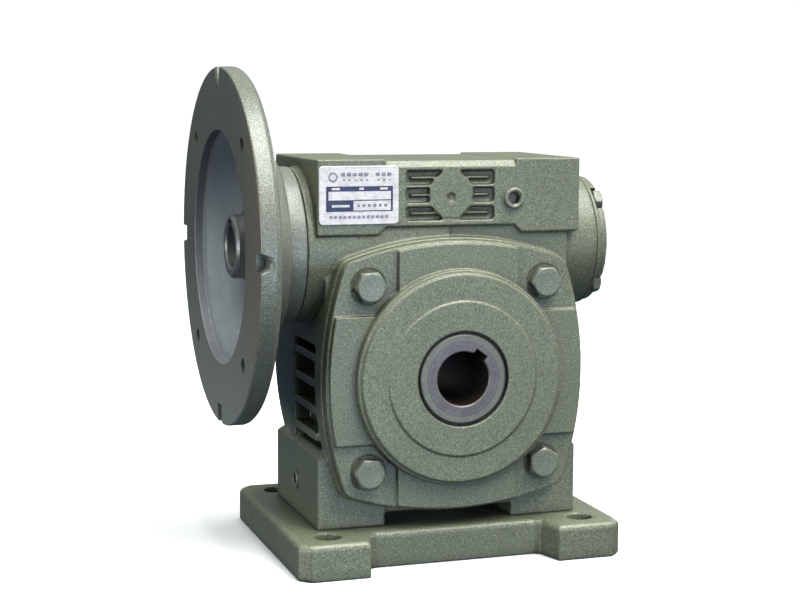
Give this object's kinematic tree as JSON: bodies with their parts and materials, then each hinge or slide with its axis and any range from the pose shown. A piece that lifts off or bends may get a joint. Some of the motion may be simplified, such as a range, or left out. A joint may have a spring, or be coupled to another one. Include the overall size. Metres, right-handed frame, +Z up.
{
  "type": "worm gearbox",
  "caption": "Right-angle worm gearbox with a flanged motor input, a keyed hollow output shaft and a bolted-on foot plate.",
  "frame": {"origin": "centre of the output bore", "axes": "+Y along the output shaft from the front cover to the rear cover, +X along the worm from the motor flange to the end cover, +Z up from the foot plate to the worm"},
  "size_m": [0.222, 0.2, 0.275],
  "materials": {
    "bare_cast_iron": "bare machined cast iron",
    "bearing_steel": "ground bearing steel",
    "black_screws": "blackened alloy steel",
    "casting_paint": "grey-green hammertone enamel over sand-cast iron",
    "flange_paint": "grey-green enamel, smoother on the machined mounting face",
    "gasket_fibre": "brown fibre gasket",
    "machined_steel": "turned and bored steel with a light oil film",
    "nameplate_metal": "printed satin aluminium plate",
    "painted_fasteners": "steel painted over with the casting enamel",
    "retainer_paint": "grey-green hammertone enamel",
    "seal_rubber": "black nitrile rubber",
    "wheel_bronze": "hobbed bronze"
  },
  "bodies": {
    "housing": {"base_plate": "casting_paint", "base_plate_screws": "black_screws", "bearing_retainer": "retainer_paint", "drain_plug": "painted_fasteners", "end_cover": "casting_paint", "end_cover_bolts": "painted_fasteners", "end_cover_gasket": "gasket_fibre", "front_bearing_outer_ring": "bearing_steel", "front_cover": "casting_paint", "front_cover_bolts": "painted_fasteners", "front_cover_gasket": "gasket_fibre", "front_oil_seal": "seal_rubber", "housing": "casting_paint", "input_bearing_outer_ring": "bearing_steel", "input_oil_seal": "seal_rubber", "level_plug": "painted_fasteners", "level_plug_washer": "painted_fasteners", "motor_flange": "flange_paint", "motor_flange_screws": "flange_paint", "nameplate": "nameplate_metal", "rear_bearing_outer_ring": "bearing_steel", "rear_cover": "casting_paint", "rear_cover_bolts": "painted_fasteners", "rear_cover_gasket": "gasket_fibre", "rear_oil_seal": "seal_rubber", "retainer_gasket": "gasket_fibre", "tail_bearing_outer_ring": "bearing_steel"},
    "output": {"hollow_shaft": "machined_steel", "worm_wheel_hub": "bare_cast_iron", "worm_wheel_rim": "wheel_bronze", "wheel_key": "machined_steel", "front_spacer": "machined_steel", "rear_spacer": "machined_steel", "front_bearing_inner_ring": "bearing_steel", "rear_bearing_inner_ring": "bearing_steel", "front_bearing_rollers": "bearing_steel", "rear_bearing_rollers": "bearing_steel"},
    "worm": {"worm_shaft": "machined_steel", "input_bearing_inner_ring": "bearing_steel", "input_bearing_rollers": "bearing_steel", "tail_bearing_inner_ring": "bearing_steel", "tail_bearing_rollers": "bearing_steel", "tail_locknut": "machined_steel"}
  },
  "joints": [
    {"name": "output_spin", "type": "hinge", "parent": "housing", "child": "output", "pos_m": [0, 0, 0], "axis": [0, 1, 0], "continuous": true},
    {"name": "worm_spin", "type": "hinge", "parent": "housing", "child": "worm", "pos_m": [0, 0, 0.07], "axis": [1, 0, 0], "continuous": true}
  ],
  "couplings": [
    {"joint": "worm_spin", "follows": "output_spin", "ratio": -30}
  ]
}
